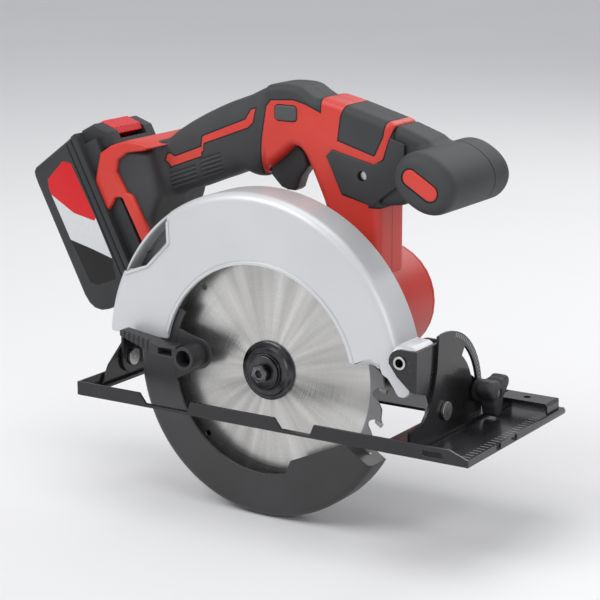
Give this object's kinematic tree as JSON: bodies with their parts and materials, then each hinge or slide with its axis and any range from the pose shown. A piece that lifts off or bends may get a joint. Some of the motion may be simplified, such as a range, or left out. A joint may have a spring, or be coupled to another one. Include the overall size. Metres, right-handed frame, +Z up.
{
  "type": "circular saw",
  "caption": "Battery circular saw with tilting base, depth hinge, swinging blade guard, side grip handle and slide-on battery pack.",
  "frame": {"origin": "on the underside of the base, level with the blade arbor, in the middle of the solid web between the blade slot and the far edge", "axes": "+X the way the saw cuts, +Z up, +Y from the blade to the motor side"},
  "size_m": [0.3908, 0.148, 0.2907],
  "materials": {
    "painted_steel": "gloss black enamel on pressed steel",
    "bright_steel": "zinc plated or ground steel",
    "blade_steel": "ground saw plate with a darker outer ring",
    "dark_chrome": "black oxide, polished",
    "silver_paint": "cast aluminium with silver paint",
    "cast_aluminium": "as cast",
    "red_plastic": "fine textured red nylon",
    "black_rubber": "matt soft overmould",
    "dark_plastic": "fine textured black nylon",
    "battery_plastic": "fine textured dark grey nylon",
    "button_red": "satin red",
    "winding": "varnished copper on steel laminations",
    "circuit_board": "solder mask",
    "cell_jacket": "shrink wrap"
  },
  "bodies": {
    "base": {"base_plate": "painted_steel", "bevel_quadrant": "painted_steel", "front_pivot_rivet": "bright_steel", "rear_bevel_ear": "painted_steel", "rear_pivot_rivet": "bright_steel", "guide_bracket": "painted_steel"},
    "bevel_carriage": {"front_bracket": "painted_steel", "depth_pivot_pin": "bright_steel", "bevel_stud": "bright_steel", "rear_bracket": "painted_steel", "depth_guide": "painted_steel", "guide_rivet": "bright_steel"},
    "bevel_knob": {"bevel_knob": "dark_plastic"},
    "saw_body": {"upper_guard": "silver_paint", "gear_case": "cast_aluminium", "spindle_bearing_front": "bright_steel", "spindle_bearing_rear": "bright_steel", "rotor_bearing_front": "bright_steel", "rotor_bearing_rear": "bright_steel", "intermediate_pin": "bright_steel", "motor_housing": "red_plastic", "motor_end_cover": "red_plastic", "stator": "winding", "depth_lock_bolt": "bright_steel", "return_spring": "bright_steel", "housing_right": "red_plastic", "housing_left": "red_plastic", "grip_overmould_right": "black_rubber", "grip_overmould_left": "black_rubber", "housing_screw_1": "bright_steel", "housing_screw_2": "bright_steel", "housing_screw_3": "bright_steel", "front_handle": "black_rubber", "front_handle_cap_right": "red_plastic", "front_handle_cap_left": "red_plastic", "trigger_switch": "dark_plastic", "controller_board": "circuit_board", "terminal_block": "dark_plastic"},
    "depth_lock": {"depth_lock_lever": "dark_plastic"},
    "blade_spindle": {"blade": "blade_steel", "inner_flange": "dark_chrome", "outer_flange": "dark_chrome", "blade_washer": "bright_steel", "blade_bolt": "dark_chrome", "spindle": "bright_steel", "spindle_gear": "bright_steel"},
    "intermediate": {"intermediate_gear": "bright_steel"},
    "rotor": {"motor_pinion": "bright_steel", "rotor": "dark_chrome", "rotor_shaft": "bright_steel", "fan": "dark_plastic"},
    "lower_guard": {"lower_guard": "dark_plastic", "guard_lever": "dark_plastic"},
    "trigger": {"trigger": "dark_plastic"},
    "lock_off": {"lock_off_button": "dark_plastic"},
    "battery": {"battery_case": "battery_plastic", "battery_cover": "battery_plastic", "battery_cells": "cell_jacket"},
    "battery_release": {"battery_release_button": "button_red"}
  },
  "joints": [
    {"name": "bevel", "type": "hinge", "parent": "base", "child": "bevel_carriage", "pos_m": [0, -0.065, 0.016], "axis": [1, 0, 0], "range_deg": [0, 45]},
    {"name": "depth", "type": "hinge", "parent": "bevel_carriage", "child": "saw_body", "pos_m": [0.113, -0.079, 0.054], "axis": [0, 1, 0], "range_deg": [0, 30]},
    {"name": "bevel_knob_turn", "type": "hinge", "parent": "bevel_carriage", "child": "bevel_knob", "pos_m": [0.14, -0.02216, 0.01975], "axis": [1, 0, 0], "range_deg": [0, 180]},
    {"name": "depth_lock_turn", "type": "hinge", "parent": "saw_body", "child": "depth_lock", "pos_m": [-0.036, -0.059, 0.054], "axis": [0, 1, 0], "range_deg": [0, 50]},
    {"name": "blade_spin", "type": "hinge", "parent": "saw_body", "child": "blade_spindle", "pos_m": [0, -0.079, 0.028], "axis": [0, 1, 0], "continuous": true},
    {"name": "intermediate_spin", "type": "hinge", "parent": "saw_body", "child": "intermediate", "pos_m": [0.01926, -0.051, 0.04833], "axis": [0, 1, 0], "continuous": true},
    {"name": "rotor_spin", "type": "hinge", "parent": "saw_body", "child": "rotor", "pos_m": [0.036, -0.019, 0.066], "axis": [0, 1, 0], "continuous": true},
    {"name": "lower_guard_swing", "type": "hinge", "parent": "saw_body", "child": "lower_guard", "pos_m": [0, -0.079, 0.028], "axis": [0, 1, 0], "range_deg": [0, 140], "stiffness_Nm_per_rad": 0.12, "springref_deg": -45.84},
    {"name": "trigger_pull", "type": "slide", "parent": "saw_body", "child": "trigger", "axis": [-0.45, 0, 0.893], "range_m": [0, 0.006], "stiffness_N_per_m": 500, "springref_m": -0.002},
    {"name": "lock_off_push", "type": "slide", "parent": "saw_body", "child": "lock_off", "axis": [0, 1, 0], "range_m": [-0.003, 0.003], "stiffness_N_per_m": 500},
    {"name": "battery_slide", "type": "slide", "parent": "saw_body", "child": "battery", "axis": [-0.4633, 0, 0.8862], "range_m": [0, 0.105]},
    {"name": "battery_release_push", "type": "slide", "parent": "battery", "child": "battery_release", "axis": [0.4633, 0, -0.8862], "range_m": [0, 0.0035], "stiffness_N_per_m": 600, "springref_m": -0.002}
  ],
  "couplings": [
    {"joint": "intermediate_spin", "follows": "blade_spin", "ratio": -2.0833},
    {"joint": "rotor_spin", "follows": "blade_spin", "ratio": 4.7917}
  ]
}
